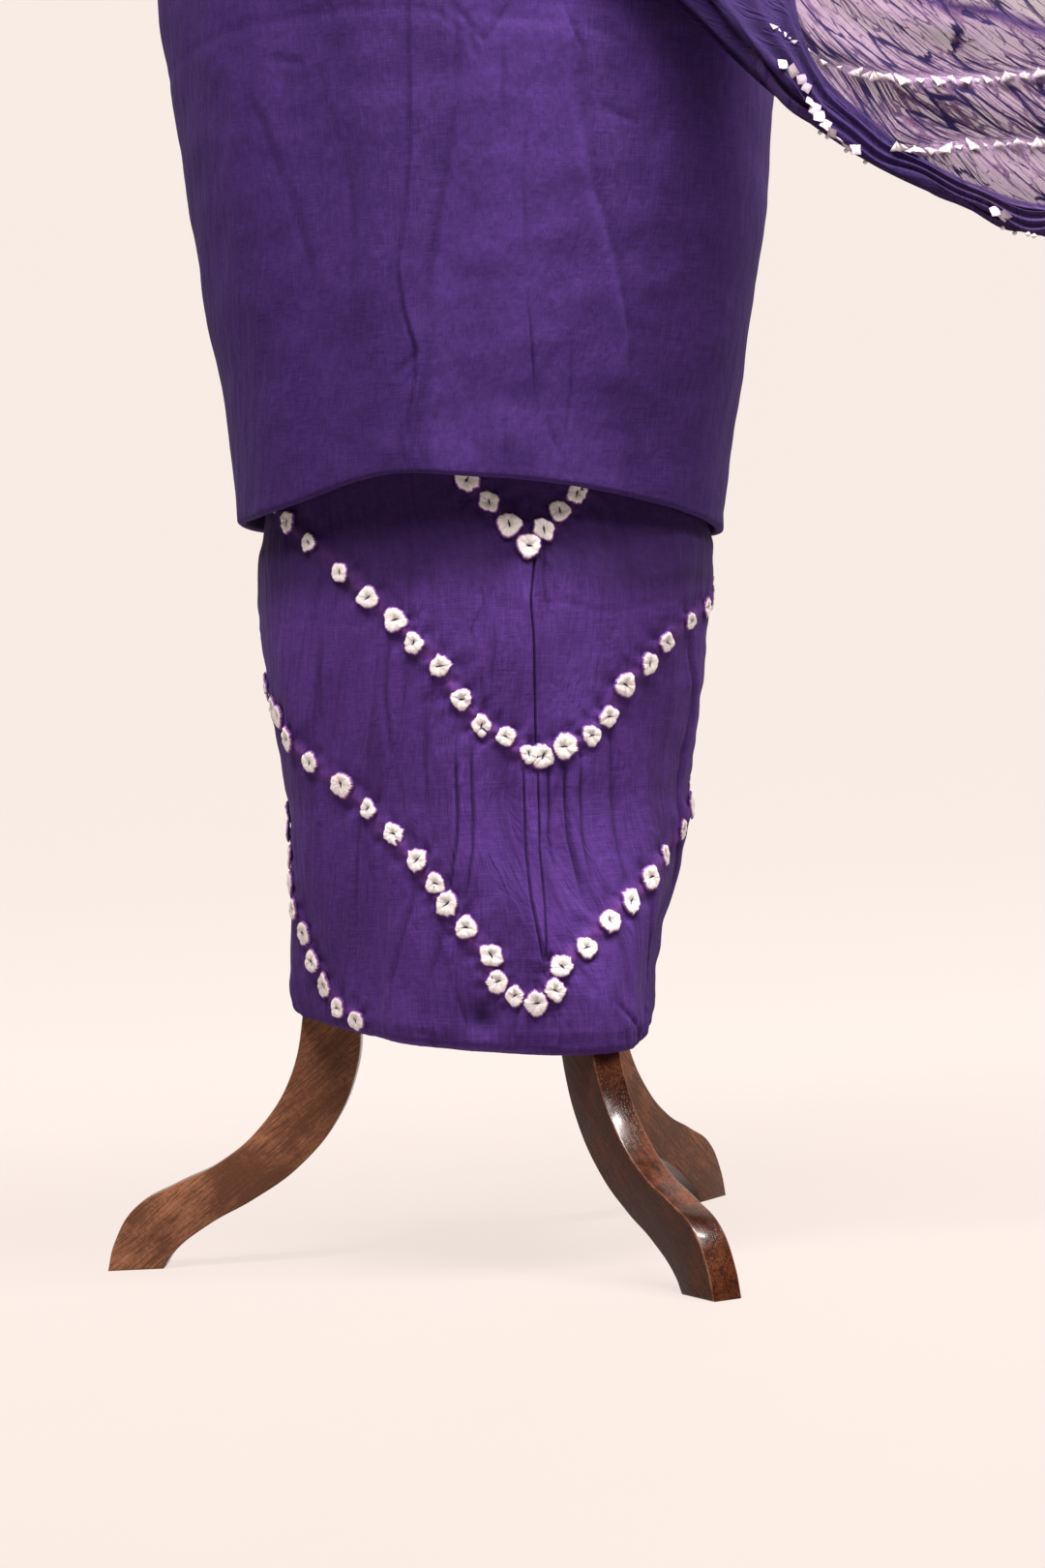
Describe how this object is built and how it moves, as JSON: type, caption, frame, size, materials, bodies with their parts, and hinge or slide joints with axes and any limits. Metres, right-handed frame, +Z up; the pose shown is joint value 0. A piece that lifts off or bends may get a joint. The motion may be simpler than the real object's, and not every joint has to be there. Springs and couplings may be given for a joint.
{
  "type": "unstitched suit fabric on a dress stand",
  "caption": "Unstitched suit cloths on a tripod dress stand: a plain top cloth and a tie-dyed bottom cloth wrapped round the form, and a pleated sheer dupatta drawn off to one side.",
  "frame": {"origin": "on the floor, at the middle of the whole object's box in X and Y", "axes": "+Z up, -Y towards the front where the chevrons meet, +X towards the side where the dupatta hangs free"},
  "size_m": [0.8156, 0.4772, 1.4843],
  "materials": {
    "walnut": "glossy dark walnut lacquer",
    "form_linen": "matt woven linen cover",
    "plain_cotton": "plain violet cotton, slightly mottled",
    "bandhani_cotton": "purple cotton with white tied dots in chevrons",
    "chiffon": "sheer crinkled violet chiffon with rows of white tied dots"
  },
  "bodies": {
    "root": {"base_hub": "walnut", "leg_left": "walnut", "leg_front": "walnut", "leg_back": "walnut", "neck_cap": "walnut", "form_body": "form_linen", "top_cloth": "plain_cotton", "bottom_cloth": "bandhani_cotton", "dupatta": "chiffon"}
  },
  "joints": []
}
